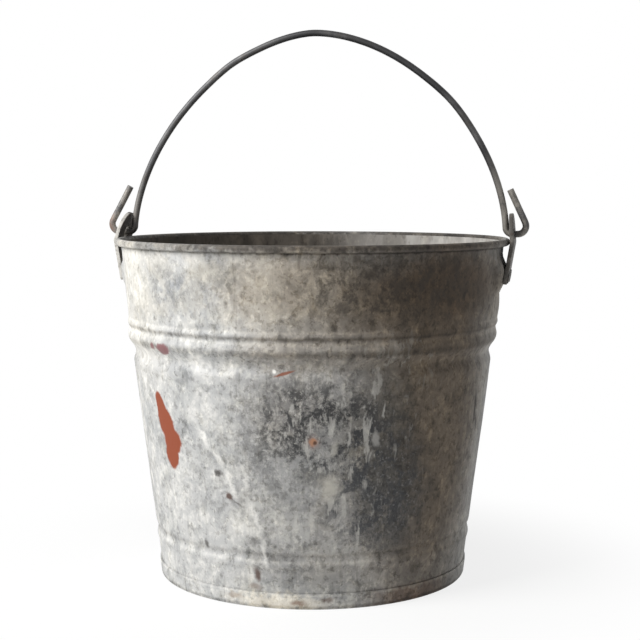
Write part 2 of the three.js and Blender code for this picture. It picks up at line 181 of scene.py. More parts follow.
# The rivets draw the wall out flat to the ears, a dent lies under the right ear, and the sheet waves a little
PAD_HALF_WIDTH, PAD_HALF_HEIGHT, PAD_FADE = 19, 4, 13
DENT_HEIGHT, DENT_HALF_WIDTH, DENT_HALF_HEIGHT, DENT_DEPTH = 204, 50, 18, 1.2
LONG_WAVE, LONG_WAVE_RELIEF, SHORT_WAVE, SHORT_WAVE_RELIEF = 48, 0.45, 19, 0.16
WAVES_BEGIN, WAVES_END = (16, 40), (225, 246)
for vertex in wall.data.vertices:
    x, y, z = vertex.co / MM
    fade_across = 1 - smooth_step(abs(y), PAD_HALF_WIDTH, PAD_HALF_WIDTH + PAD_FADE)
    fade_up = 1 - smooth_step(abs(z - RIVET_HEIGHT), PAD_HALF_HEIGHT, PAD_HALF_HEIGHT + PAD_FADE)
    plain = math.sqrt(max(cone_radius(z) ** 2 - y ** 2, 0))
    pull = max(ear_leg_radius(z) - EAR_FACE - SEAT_GAP - plain, 0) * fade_across * fade_up
    across, up = abs(y) / DENT_HALF_WIDTH, abs(z - DENT_HEIGHT) / DENT_HALF_HEIGHT
    press = 0
    if x > 0 and across < 1 and up < 1:
        press = DENT_DEPTH * (math.cos(across * math.pi / 2) * math.cos(up * math.pi / 2)) ** 2
    x += math.copysign(pull - press, x)
    waving = smooth_step(z, *WAVES_BEGIN) * (1 - smooth_step(z, *WAVES_END)) * (1 - fade_across * fade_up)
    wave = LONG_WAVE_RELIEF * noise.noise(Vector((x, y, z)) / LONG_WAVE)
    wave += SHORT_WAVE_RELIEF * noise.noise(Vector((x, y, z + 500)) / SHORT_WAVE)
    swell = 1 + waving * wave / math.hypot(x, y)
    vertex.co = Vector((x * swell, y * swell, z)) * MM
outward(wall)
apply_modifier(wall, "SOLIDIFY", thickness=WALL_SHEET * MM, offset=0.0, use_even_offset=True)

# Lock seam: a raised rib on the outside at the back, between two angles in degrees and two heights
SEAM_FROM, SEAM_TO, SEAM_FOOT, SEAM_TOP, SEAM_RELIEF = -1.3, 2.5, 12.6, 248.5, 1.1
clear_selection("FACE")
for face in wall.data.polygons:
    x, y, z = face.center / MM
    at_back = SEAM_FROM < math.degrees(math.atan2(x, y)) < SEAM_TO
    face.select = at_back and SEAM_FOOT < z < SEAM_TOP and face.normal.y > 0.4
bpy.ops.object.mode_set(mode="EDIT")
bpy.ops.mesh.extrude_region_shrink_fatten(TRANSFORM_OT_shrink_fatten={"value": SEAM_RELIEF * MM})
bpy.ops.object.mode_set(mode="OBJECT")
shade(wall, 50)


def linear(hex_colour):
    channels = [int(hex_colour[place:place + 2], 16) / 255 for place in (0, 2, 4)]
    return [c / 12.92 if c <= 0.04045 else ((c + 0.055) / 1.055) ** 2.4 for c in channels] + [1.0]


def add(tree, kind, inputs, **settings):
    """One node: its settings, then each input as a value or as the socket that feeds it."""
    node = tree.nodes.new("ShaderNode" + kind)
    for key, value in settings.items():
        setattr(node, key, value)
    for place, value in inputs.items():
        if isinstance(value, bpy.types.NodeSocket):
            tree.links.new(value, node.inputs[place])
        else:
            node.inputs[place].default_value = value
    return node


def new_material(name):
    material = bpy.data.materials.new(name)
    material.use_nodes = True
    tree = material.node_tree
    shader = tree.nodes["Principled BSDF"]
    coords = add(tree, "TexCoord", {})
    place = add(tree, "Mapping", {0: coords.outputs["Object"], "Scale": (1000, 1000, 1000)})
    return material, tree, shader, place.outputs[0]


def blotches(tree, place, size, low, high, share=1.0, stretch=(1, 1, 1), shift=0.0, rough=0.62):
    """Ragged blotches about size millimetres wide: 0 where the cloud is under low, share where over high."""
    moved = add(tree, "Mapping", {0: place, "Location": (shift, shift * 0.7, shift * 1.3), "Scale": stretch})
    cloud = add(tree, "TexNoise", {"Vector": moved.outputs[0], "Scale": 1 / size, "Detail": 5.0,
                                   "Roughness": rough, "Distortion": 0.3})
    return add(tree, "MapRange", {0: cloud.outputs[0], 1: low, 2: high, 4: share},
               interpolation_type="SMOOTHSTEP").outputs[0]


def stain(tree, flat, ragged, edge, centre, size, lean, solid, share):
    """A mark on the rolled-out wall: an ellipse with a ragged edge, solid out to a share of its reach."""
    moved = add(tree, "VectorMath", {0: ragged, 1: (edge, edge, 0), 2: flat}, operation="MULTIPLY_ADD")
    local = add(tree, "Mapping", {0: moved.outputs[0], "Location": (*centre, 0),
                                  "Rotation": (0, 0, math.radians(lean)), "Scale": (*size, 1)},
                vector_type="TEXTURE")
    reach = add(tree, "VectorMath", {0: local.outputs[0]}, operation="LENGTH")
    return add(tree, "MapRange", {0: reach.outputs[1], 1: solid, 2: 1.1, 3: share, 4: 0.0},
               interpolation_type="SMOOTHSTEP").outputs[0]


# Old galvanised sheet: hot-dipped zinc gone matt, with a lime bloom on the left and a brown film on the
# right.
# The pale left is partly painted light and the dark right partly painted shade, as from a lamp at the left.
# The eye sees soft clouds of grey and cream, dark ragged patches, fine speckle and upright runs.
ZINC, LIME_AND_HIGHLIGHT, WARM, COOL = "b0b0af", "ebe9e4", "948876", "8a8d90"
FILM_AND_SHADE, DARK_FILM_AND_SHADE, BARE, SOOT_AND_SHADE = "5e5244", "413529", "393939", "332e29"
MEAN_RADIUS, FIELD_EDGE, BROKEN_EDGE, BAND_WANDER = 132.0, 24, 20, 3.0
zinc_material, tree, zinc_shader, place = new_material("weathered_galvanised_sheet")
axes = add(tree, "SeparateXYZ", {0: place})
forward = add(tree, "Math", {0: axes.outputs[1], 1: -1.0}, operation="MULTIPLY")
turn = add(tree, "Math", {0: axes.outputs[0], 1: forward.outputs[0]}, operation="ARCTAN2")
round_wall = add(tree, "Math", {0: turn.outputs[0], 1: MEAN_RADIUS}, operation="MULTIPLY")
flat = add(tree, "CombineXYZ", {0: round_wall.outputs[0], 1: axes.outputs[2]}).outputs[0]
cloud = add(tree, "TexNoise", {"Vector": place, "Scale": 1 / 7, "Detail": 5.0, "Roughness": 0.65})
ragged = add(tree, "Mapping", {0: cloud.outputs[1], "Location": (-0.5, -0.5, -0.5)}).outputs[0]

# Broad soiling: place round and up the wall, half size, share, tone. The pale field at the upper left is
# partly painted light, and the brown films over the right front are partly painted shade.
FIELDS = [
    ((-125, 215), (48, 80), 0.60, "d2cfc8"), ((22, 226), (80, 42), 0.80, WARM),
    ((120, 130), (94, 240), 0.94, FILM_AND_SHADE), ((120, 226), (118, 40), 0.94, DARK_FILM_AND_SHADE),
    ((12, 140), (38, 38), 0.75, "666361"), ((72, 122), (36, 66), 0.75, "4f4d4a"),
    ((84, 74), (42, 46), 0.80, "4b4a49"), ((33, 58), (15, 44), 0.70, "a5a3a0"),
    ((36, 26), (34, 20), 0.40, "6a655d"), ((14, 110), (60, 190), 0.35, "7b7874"),
    ((-2, 36), (36, 20), 0.35, "82807d"), ((74, 206), (56, 22), 0.55, "5a4f42"),
    ((30, 184), (72, 20), 0.45, "716453"), ((-2, 5), (54, 8), 0.80, "d6d0c4"),
    ((112, 5), (52, 9), 0.65, "5f4b3e"), ((25, 256), (156, 7), 0.80, "5b544d"),
    ((320, 255), (150, 8), 0.85, "48423a"), ((-330, 255), (170, 8), 0.85, "48423a"),
    ((-38, 236), (30, 12), 0.55, "7a7770"), ((-66, 219), (27, 19), 0.60, "8b8e92"),
    ((-300, 150), (110, 90), 0.70, FILM_AND_SHADE), ((300, 80), (120, 70), 0.65, DARK_FILM_AND_SHADE),
    ((250, 210), (90, 50), 0.60, WARM),
]
colour = linear(ZINC)
for centre, size, share, tone in FIELDS:
    mask = stain(tree, flat, ragged, FIELD_EDGE, centre, size, lean=0, solid=0.25, share=share)
    colour = add(tree, "Mix", {0: mask, 6: colour, 7: linear(tone)}, data_type="RGBA").outputs[2]

# Clouds of the bloom, which lighten or darken what is under them: width, from, to, share, stretch, shift
# and tone
CLOUDS = [
    (38, 0.40, 0.64, 0.55, (1, 1, 1), 0, COOL), (30, 0.47, 0.66, 0.50, (1, 1, 0.8), 31, LIME_AND_HIGHLIGHT),
    (24, 0.52, 0.60, 0.35, (1, 1, 0.9), 250, COOL), (17, 0.53, 0.61, 0.35, (1, 1, 0.9), 320, LIME_AND_HIGHLIGHT),
    (13, 0.50, 0.64, 0.55, (1, 1, 0.8), 77, LIME_AND_HIGHLIGHT), (11, 0.50, 0.64, 0.60, (1, 1, 0.9), 140, "6f6f6e"),
    (6, 0.53, 0.64, 0.50, (1, 1, 1), 55, LIME_AND_HIGHLIGHT), (5, 0.53, 0.64, 0.60, (1, 1, 1), 190, "5b5956"),
    (8, 0.54, 0.70, 0.50, (1, 1, 0.10), 12, LIME_AND_HIGHLIGHT), (5, 0.56, 0.70, 0.45, (1, 1, 0.08), 210, "5b5956"),
]
for size, low, high, share, stretch, shift, tone in CLOUDS:
    mask = blotches(tree, place, size, low, high, share, stretch, shift)
    colour = add(tree, "Mix", {0: mask, 6: colour, 7: linear(tone)}, data_type="RGBA",
                 blend_type="SOFT_LIGHT").outputs[2]

# What breaks the bloom up, kept to parts of the wall: width, from, to, stretch, shift, roughness, then for
# each part its place, half size, share and tone. Cream is left over the beads, ragged dark patches lie where
# the bloom has gone, and pale flecks and short lime drips lie over those.
BROKEN = [
    (20, 0.44, 0.60, (1, 1, 0.9), 31, 0.62, [((-70, 226), (110, 38), 0.40, "c4bfb4")]),
    (13, 0.44, 0.58, (1, 1, 0.9), 5, 0.75, [
        ((34, 130), (68, 46), 0.95, "333334"), ((70, 84), (52, 56), 0.80, "3a3c40"),
        ((75, 226), (84, 32), 0.65, SOOT_AND_SHADE), ((-75, 225), (30, 22), 0.45, "686a6c"),
        ((-20, 95), (56, 56), 0.25, BARE), ((-290, 140), (110, 110), 0.60, BARE)]),
    (2.4, 0.52, 0.70, (1, 1, 0.9), 88, 0.65, [
        ((28, 138), (60, 44), 0.70, "aeaca7"), ((74, 86), (50, 54), 0.50, "929190")]),
    (6, 0.55, 0.65, (1, 1, 0.30), 400, 0.58, [
        ((45, 135), (70, 50), 0.75, "b1afaa"), ((46, 70), (40, 60), 0.75, "aeaca7"),
        ((70, 175), (80, 26), 0.40, "9d9a94")]),
]
for size, low, high, stretch, shift, rough, parts in BROKEN:
    broken = blotches(tree, place, size, low, high, 1.0, stretch, shift, rough)
    for centre, reach, share, tone in parts:
        field = stain(tree, flat, ragged, BROKEN_EDGE, centre, reach, lean=0, solid=0.35, share=share)
        mask = add(tree, "Math", {0: field, 1: broken}, operation="MULTIPLY").outputs[0]
        colour = add(tree, "Mix", {0: mask, 6: colour, 7: linear(tone)}, data_type="RGBA").outputs[2]

# Bands round the wall: height, half width, share, tone. The pale bands at 196.8, 188.8 and 34.0 are painted
# highlights on the beads' upper flanks, and the one at 174.0 is painted light over the main bead's shaded
# lower slope. The dark band at 250.4 is painted shade under the curl, and the one at 1.5 is painted shade on
# the foot's underside. The rest are darker bands in the valley between the beads, over the main bead, in the
# groove above the low bead and on the curl, and the ring's lip worn pale at 10.4.
BANDS = [
    (192.4, 2.4, 0.65, "453e36"), (196.8, 1.8, 0.40, LIME_AND_HIGHLIGHT), (188.8, 2.2, 0.42, LIME_AND_HIGHLIGHT),
    (181.6, 4.2, 0.65, "4a4640"), (174.0, 4.5, 0.25, LIME_AND_HIGHLIGHT), (250.4, 1.5, 0.80, SOOT_AND_SHADE),
    (254.0, 5.0, 0.75, "4f4843"), (34.0, 2.2, 0.35, LIME_AND_HIGHLIGHT), (39.0, 3.0, 0.40, "5b564f"),
    (10.4, 1.0, 0.40, LIME_AND_HIGHLIGHT), (1.5, 2.2, 0.70, SOOT_AND_SHADE),
]
lifted = add(tree, "Math", {0: cloud.outputs[0], 1: BAND_WANDER, 2: axes.outputs[2]},
             operation="MULTIPLY_ADD")
for height, half_width, share, tone in BANDS:
    off = add(tree, "Math", {0: lifted.outputs[0], 1: height + BAND_WANDER / 2}, operation="SUBTRACT")
    off = add(tree, "Math", {0: off.outputs[0]}, operation="ABSOLUTE")
    mask = add(tree, "MapRange", {0: off.outputs[0], 1: 0.0, 2: half_width, 3: share, 4: 0.0},
               interpolation_type="SMOOTHSTEP").outputs[0]
    colour = add(tree, "Mix", {0: mask, 6: colour, 7: linear(tone)}, data_type="RGBA",
                 blend_type="SOFT_LIGHT").outputs[2]

# Fine speckle of pits and flecks, drawn coarser than the real half millimetre so that it shows
SPECKLE = [(1.9, 0.56, 0.70, 0.40, 9, SOOT_AND_SHADE), (2.6, 0.55, 0.68, 0.55, 61, LIME_AND_HIGHLIGHT)]
for size, low, high, share, shift, tone in SPECKLE:
    mask = blotches(tree, place, size, low, high, share, (1, 1, 0.7), shift, 0.5)
    colour = add(tree, "Mix", {0: mask, 6: colour, 7: linear(tone)}, data_type="RGBA",
                 blend_type="SOFT_LIGHT").outputs[2]

# Chips, stains and scratches of this pail: place round and up the wall, half size, lean, ragged edge,
# how much of it is solid, share, tone
RED_LEAD, MAUVE, COPPER, RUST = "84422a", "7a5052", "a87a5c", "4c342a"
MARKS = [
    ((-100.5, 137), (6.2, 12), 20, 4, 0.85, 1.0, RED_LEAD),
    ((-96, 126), (9.6, 13), 22, 5, 0.85, 1.0, RED_LEAD),
    ((-89.5, 113.5), (10.4, 10.5), 12, 5, 0.85, 1.0, RED_LEAD),
    ((-92, 103), (8.0, 10.5), -10, 5, 0.85, 1.0, RED_LEAD),
    ((-100, 181.6), (3.2, 3.0), 0, 5, 0.5, 0.8, MAUVE), ((-87.5, 180.7), (8.4, 4.6), 4, 6, 0.6, 0.9, MAUVE),
    ((7.5, 168.9), (8.4, 1.2), 17, 3, 0.5, 0.9, "7a4632"), ((0.7, 170.4), (1.5, 2.0), 0, 3, 0.4, 0.8, LIME_AND_HIGHLIGHT),
    ((26, 121.6), (6.4, 6.6), 0, 6, 0.1, 0.55, "a38a80"), ((26, 121.6), (3.4, 3.6), 0, 5, 0.4, 0.85, COPPER),
    ((27.4, 120.8), (1.8, 1.9), 0, 3, 0.4, 0.9, RUST),
    ((-45.7, 95.7), (4.6, 3.0), 0, 6, 0.3, 0.85, SOOT_AND_SHADE), ((-37.8, 79.8), (4.0, 3.0), -30, 5, 0.4, 0.9, RUST),
    ((-31, 75.4), (8.0, 1.1), -34, 5, 0.1, 0.6, SOOT_AND_SHADE), ((-62.6, 42), (2.6, 4.6), 8, 5, 0.3, 0.75, SOOT_AND_SHADE),
    ((-18, 24.5), (3.6, 7.2), 6, 7, 0.3, 0.85, RUST), ((-20, 15), (7, 3.5), 0, 7, 0.2, 0.5, "6e5a4c"),
    ((-56, 121), (3.6, 14), 34, 14, 0.0, 0.60, LIME_AND_HIGHLIGHT), ((-45, 107), (3.2, 11), 34, 13, 0.0, 0.50, LIME_AND_HIGHLIGHT),
    ((-35, 88), (3.4, 14), 20, 14, 0.0, 0.50, LIME_AND_HIGHLIGHT), ((-23, 93), (2.6, 16), 6, 12, 0.0, 0.45, LIME_AND_HIGHLIGHT),
    ((-17, 66), (3.0, 16), 18, 13, 0.0, 0.50, LIME_AND_HIGHLIGHT), ((-11, 40), (3.0, 18), 6, 13, 0.0, 0.50, LIME_AND_HIGHLIGHT),
    ((70.6, 122), (3.4, 6.6), 6, 6, 0.5, 0.75, "a3a19d"), ((41, 117), (3.6, 9), -12, 8, 0.2, 0.7, "aaa79f"),
    ((38, 88), (10, 13), 10, 16, 0.2, 0.75, "b3afa5"), ((-38, 7), (7, 3), 0, 8, 0.3, 0.55, "8d7d6d"),
    ((14, 5), (9, 2.6), 0, 9, 0.2, 0.65, "6d4c38"), ((38, 7), (6, 3), 0, 9, 0.2, 0.65, RUST),
    # The two dark lines along the seam's edges at the back are partly dirt and partly painted shade in its
    # creases
    ((408.9, 130), (1.1, 122), 0, 2, 0.3, 0.6, SOOT_AND_SHADE), ((-411.8, 130), (1.1, 122), 0, 2, 0.3, 0.6, SOOT_AND_SHADE),
    ((172, 134), (2.4, 15), 6, 4, 0.4, 0.85, "26221e"), ((178, 122), (1.8, 10), 12, 4, 0.4, 0.85, "26221e"),
]
for centre, size, lean, edge, solid, share, tone in MARKS:
    mask = stain(tree, flat, ragged, edge, centre, size, lean, solid, share)
    colour = add(tree, "Mix", {0: mask, 6: colour, 7: linear(tone)}, data_type="RGBA").outputs[2]

tree.links.new(colour, zinc_shader.inputs["Base Color"])
zinc_shader.inputs["Metallic"].default_value = 0.12
zinc_shader.inputs["Roughness"].default_value = 0.66
zinc_shader.inputs["Specular IOR Level"].default_value = 0.3
crust = add(tree, "TexNoise", {"Vector": place, "Scale": 1 / 2.4, "Detail": 4.0, "Roughness": 0.7})
bump = add(tree, "Bump", {"Height": crust.outputs[0], "Strength": 0.2, "Distance": 0.0006})
tree.links.new(bump.outputs[0], zinc_shader.inputs["Normal"])

# Inside of the same sheet: a brown film of old slops at the left going over to pale grey zinc at the right.
# This paling from left to right is painted light and shade: the inner right wall lit, the inner left in
# shade.
SLOPS_AND_SHADE, LIT_INSIDE_ZINC = "544e47", "b2afaa"
INSIDE_CLOUDS = [
    (26, 0.42, 0.64, 0.6, 3, SOOT_AND_SHADE), (12, 0.50, 0.66, 0.6, 80, LIME_AND_HIGHLIGHT),
    (4, 0.54, 0.68, 0.5, 44, SOOT_AND_SHADE), (2, 0.58, 0.70, 0.5, 21, LIME_AND_HIGHLIGHT),
]
inside_material, tree, inside_shader, place = new_material("soiled_zinc_inside_with_painted_light")
axes = add(tree, "SeparateXYZ", {0: place})
# Painted light and shade: the inside grows paler from left to right
ramp = add(tree, "MapRange", {0: axes.outputs[0], 1: -45.0, 2: 105.0}, interpolation_type="SMOOTHSTEP")
colour = add(tree, "Mix", {0: ramp.outputs[0], 6: linear(SLOPS_AND_SHADE), 7: linear(LIT_INSIDE_ZINC)},
             data_type="RGBA").outputs[2]
for size, low, high, share, shift, tone in INSIDE_CLOUDS:
    mask = blotches(tree, place, size, low, high, share, (1, 1, 0.5), shift)
    colour = add(tree, "Mix", {0: mask, 6: colour, 7: linear(tone)}, data_type="RGBA",
                 blend_type="SOFT_LIGHT").outputs[2]
tree.links.new(colour, inside_shader.inputs["Base Color"])
inside_shader.inputs["Metallic"].default_value = 0.1
inside_shader.inputs["Roughness"].default_value = 0.7
inside_shader.inputs["Specular IOR Level"].default_value = 0.3

# The curl's own inner faces keep the outer finish
CURL_FOOT, CURL_STEP_OUT = 245, 2.5
wall.data.materials.append(zinc_material)
wall.data.materials.append(inside_material)
for face in wall.data.polygons:
    x, y, z = face.center / MM
    radius = math.hypot(x, y)
    facing_in = face.normal.x * x + face.normal.y * y < -0.3 * radius
    under_curl = z < CURL_FOOT or z < ROLL_HEIGHT and radius < cone_radius(z) + CURL_STEP_OUT
    face.material_index = int(facing_in and under_curl)
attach(wall, "pail")
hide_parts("wall")

# RIM WIRE
# A ring of 3.4 mm steel wire that stiffens the mouth. The wall's edge is curled round it and hides it.
# The ring isn't welded: its two cut ends lie a little apart at the back, beside the seam.
RIM_WIRE_RADIUS, WIRE_END_BREAK = 1.66, 0.3
WIRE_GAP_FROM, WIRE_GAP_TO = 3, 4


def close_ends():
    """Caps the open ends of the active piece and leaves their edges selected in edit mode."""
    bpy.ops.object.mode_set(mode="EDIT")
    bpy.ops.mesh.select_mode(type="EDGE")
    bpy.ops.mesh.select_all(action="DESELECT")
    bpy.ops.mesh.select_non_manifold()
    bpy.ops.mesh.fill_holes(sides=0)


bpy.ops.object.select_all(action="DESELECT")
bpy.ops.mesh.primitive_torus_add(major_radius=ROLL_RADIUS * MM, minor_radius=RIM_WIRE_RADIUS * MM,
                                 major_segments=256, minor_segments=16, location=(0, 0, ROLL_HEIGHT * MM))
rim_wire = start_piece("rim_wire_ring")
clear_selection("FACE")
for face in rim_wire.data.polygons:
    from_back = math.degrees(math.atan2(face.center.x, face.center.y))
    face.select = WIRE_GAP_FROM < from_back < WIRE_GAP_TO
bpy.ops.object.mode_set(mode="EDIT")
bpy.ops.mesh.delete(type="FACE")
close_ends()
bpy.ops.mesh.bevel(offset=WIRE_END_BREAK * MM, segments=2, affect="EDGES")
bpy.ops.object.mode_set(mode="OBJECT")
outward(rim_wire)
shade(rim_wire, 40)

# Drawn steel wire: smooth dark grey mill scale with a thin brown film, a little brighter where hands rub it.
WIRE_GREY, WIRE_WORN, WIRE_FILM = "4c4c4d", "6b6a69", "4b4239"
WIRE_CLOUDS = [(12, 0.50, 0.68, 0.6, 21, WIRE_FILM), (1.6, 0.56, 0.72, 0.35, 4, SOOT_AND_SHADE)]
wire_material, tree, wire_shader, place = new_material("drawn_steel_wire")
worn = blotches(tree, place, 22, 0.44, 0.66, 0.8)
colour = add(tree, "Mix", {0: worn, 6: linear(WIRE_GREY), 7: linear(WIRE_WORN)}, data_type="RGBA").outputs[2]
for size, low, high, share, shift, tone in WIRE_CLOUDS:
    mask = blotches(tree, place, size, low, high, share, (1, 1, 1), shift)
    colour = add(tree, "Mix", {0: mask, 6: colour, 7: linear(tone)}, data_type="RGBA").outputs[2]

# Along the bail: black from the crown to the right, pale beside the ears (partly worn wire, partly painted
# highlight on the hooks), rusty at the left hook
axes = add(tree, "SeparateXYZ", {0: place})
aside = add(tree, "Math", {0: axes.outputs[0]}, operation="ABSOLUTE")
WIRE_STRETCHES = [
    (axes, -90, 10, 60, 0.90, 5, "1b1b1d"), (aside, 128, 150, 14, 0.75, 33, "98938b"),
    (axes, -155, -163, 7, 0.80, 70, "6b4a38"),
]
for source, near, end, size, share, shift, tone in WIRE_STRETCHES:
    ramp = add(tree, "MapRange", {0: source.outputs[0], 1: near, 2: end}, interpolation_type="SMOOTHSTEP")
    patchy = blotches(tree, place, size, 0.32, 0.54, share, (1, 1, 1), shift)
    mask = add(tree, "Math", {0: ramp.outputs[0], 1: patchy}, operation="MULTIPLY").outputs[0]
    colour = add(tree, "Mix", {0: mask, 6: colour, 7: linear(tone)}, data_type="RGBA").outputs[2]
tree.links.new(colour, wire_shader.inputs["Base Color"])
wire_shader.inputs["Metallic"].default_value = 0.35
wire_shader.inputs["Roughness"].default_value = 0.5
crust = add(tree, "TexNoise", {"Vector": place, "Scale": 1 / 1.5, "Detail": 3.0})
bump = add(tree, "Bump", {"Height": crust.outputs[0], "Strength": 0.15, "Distance": 0.0002})
tree.links.new(bump.outputs[0], wire_shader.inputs["Normal"])
rim_wire.data.materials.append(wire_material)
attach(rim_wire, "pail")
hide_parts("rim_wire")

# BOTTOM
# A disc of 0.9 mm galvanised sheet set up inside the wall. Its edge runs down the inside of the wall,
# turns under the wall's foot and is folded up outside it, and this fold is the ring that the pail stands on.
BOTTOM_SHEET, FOLD_GAP, BOTTOM_RISE, FOOT_RING = 0.9, 0.4, 9.0, 11.5
FOLD_LIP_IN, FLOOR_GAP, DISC_RADIUS = 0.37, 0.003, 114.5
half_sheet = BOTTOM_SHEET / 2


def inside_fold(height):
    return cone_radius(height) - WALL_SHEET - FOLD_GAP - half_sheet


def outside_fold(height):
    return cone_radius(height) + FOLD_GAP + half_sheet


disc_height = BOTTOM_RISE + half_sheet
foot_height = half_sheet + FLOOR_GAP
foot_in, foot_out = inside_fold(half_sheet), outside_fold(half_sheet)
bottom_section = [
    (outside_fold(FOOT_RING) - FOLD_LIP_IN, FOOT_RING), (outside_fold(9.5), 9.5), (outside_fold(6.0), 6.0),
    (outside_fold(2.6), 2.6), (outside_fold(1.3), 1.3), (foot_out - 0.02, 0.85), (foot_out - 0.22, 0.55),
    (foot_out - 0.7, foot_height), (foot_in + 0.6, foot_height), (foot_in + 0.2, 0.6), (foot_in, 1.2),
    (inside_fold(4.0), 4.0), (inside_fold(6.4), 6.4), (inside_fold(7.6) - 0.15, 7.6),
    (inside_fold(8.6) - 0.9, 8.7), (inside_fold(9.2) - 2.0, 9.3), (inside_fold(9.4) - 3.2, disc_height),
    (100.0, disc_height), (80.0, disc_height), (50.0, disc_height), (20.0, disc_height), (2.0, disc_height),
]
bottom = turned_sheet("bottom_disc", bottom_section, segments=192)
bpy.ops.object.mode_set(mode="EDIT")
bpy.ops.mesh.fill()
bpy.ops.object.mode_set(mode="OBJECT")
outward(bottom)
apply_modifier(bottom, "SOLIDIFY", thickness=BOTTOM_SHEET * MM, offset=0.0, use_even_offset=True)
shade(bottom, 50)
bottom.data.materials.append(zinc_material)
bottom.data.materials.append(inside_material)
for face in bottom.data.polygons:
    on_disc = math.hypot(face.center.x, face.center.y) < DISC_RADIUS * MM
    face.material_index = int(on_disc and face.normal.z > 0.3)
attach(bottom, "pail")
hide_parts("bottom")

# EARS
# Two straps of 3 mm steel, each riveted to the wall by its foot, bent at the rim to stand above it,
# rounded at the top and pierced with an eye for the bail. Use has bent the left one further in.
EAR_EYE_RADIUS, EAR_CORNER, PIVOT_HEIGHT = 4.5, 2.5, 259.5
EAR_BEND_RADIUS, EAR_BEND_STEPS, EAR_EDGE = 3.5, 6, 0.45
EAR_LEANS = {"left": 18.0, "right": 4.0}

# Mild steel strap: dull dark grey with brown rust in the pores, a little paler where its faces have worn.
STRAP_GREY, STRAP_PALE, STRAP_RUST = "4a4743", "716d67", "4a3b30"
STRAP_CLOUDS = [(5, 0.52, 0.68, 0.7, 17, STRAP_RUST), (1.5, 0.56, 0.72, 0.5, 3, SOOT_AND_SHADE)]
strap_material, tree, strap_shader, place = new_material("mild_steel_strap")
worn = blotches(tree, place, 9, 0.46, 0.66, 0.8)
colour = add(tree, "Mix", {0: worn, 6: linear(STRAP_GREY), 7: linear(STRAP_PALE)},
             data_type="RGBA").outputs[2]
for size, low, high, share, shift, tone in STRAP_CLOUDS:
    mask = blotches(tree, place, size, low, high, share, (1, 1, 1), shift)
    colour = add(tree, "Mix", {0: mask, 6: colour, 7: linear(tone)}, data_type="RGBA").outputs[2]
tree.links.new(colour, strap_shader.inputs["Base Color"])
strap_shader.inputs["Metallic"].default_value = 0.3
strap_shader.inputs["Roughness"].default_value = 0.6
crust = add(tree, "TexNoise", {"Vector": place, "Scale": 1 / 1.6, "Detail": 4.0})
bump = add(tree, "Bump", {"Height": crust.outputs[0], "Strength": 0.25, "Distance": 0.0003})
tree.links.new(bump.outputs[0], strap_shader.inputs["Normal"])

# The same strap, pale, dull and finely speckled, on the left ear's edges and outer face, the faces turned to
# the lamp: partly zinc left on them and partly painted light.
STRAP_ZINC_AND_LIGHT, STRAP_SPECKLE = "b9b6b0", "7d7972"
zinc_and_lit_strap_material, tree, zinc_and_lit_strap_shader, place = new_material("zinc_and_painted_light_on_strap")
speckle = blotches(tree, place, 4, 0.46, 0.64, 0.7)
colour = add(tree, "Mix", {0: speckle, 6: linear(STRAP_ZINC_AND_LIGHT), 7: linear(STRAP_SPECKLE)},
             data_type="RGBA").outputs[2]
tree.links.new(colour, zinc_and_lit_strap_shader.inputs["Base Color"])
zinc_and_lit_strap_shader.inputs["Metallic"].default_value = 0.2
zinc_and_lit_strap_shader.inputs["Roughness"].default_value = 0.6


def select_edges(piece, test):
    """Selects the edges whose two ends, in millimetres, pass the test, and stays in edit mode."""
    clear_selection("EDGE")
    points = [vertex.co / MM for vertex in piece.data.vertices]
    for edge in piece.data.edges:
        edge.select = test(points[edge.vertices[0]], points[edge.vertices[1]])
    bpy.ops.object.mode_set(mode="EDIT")


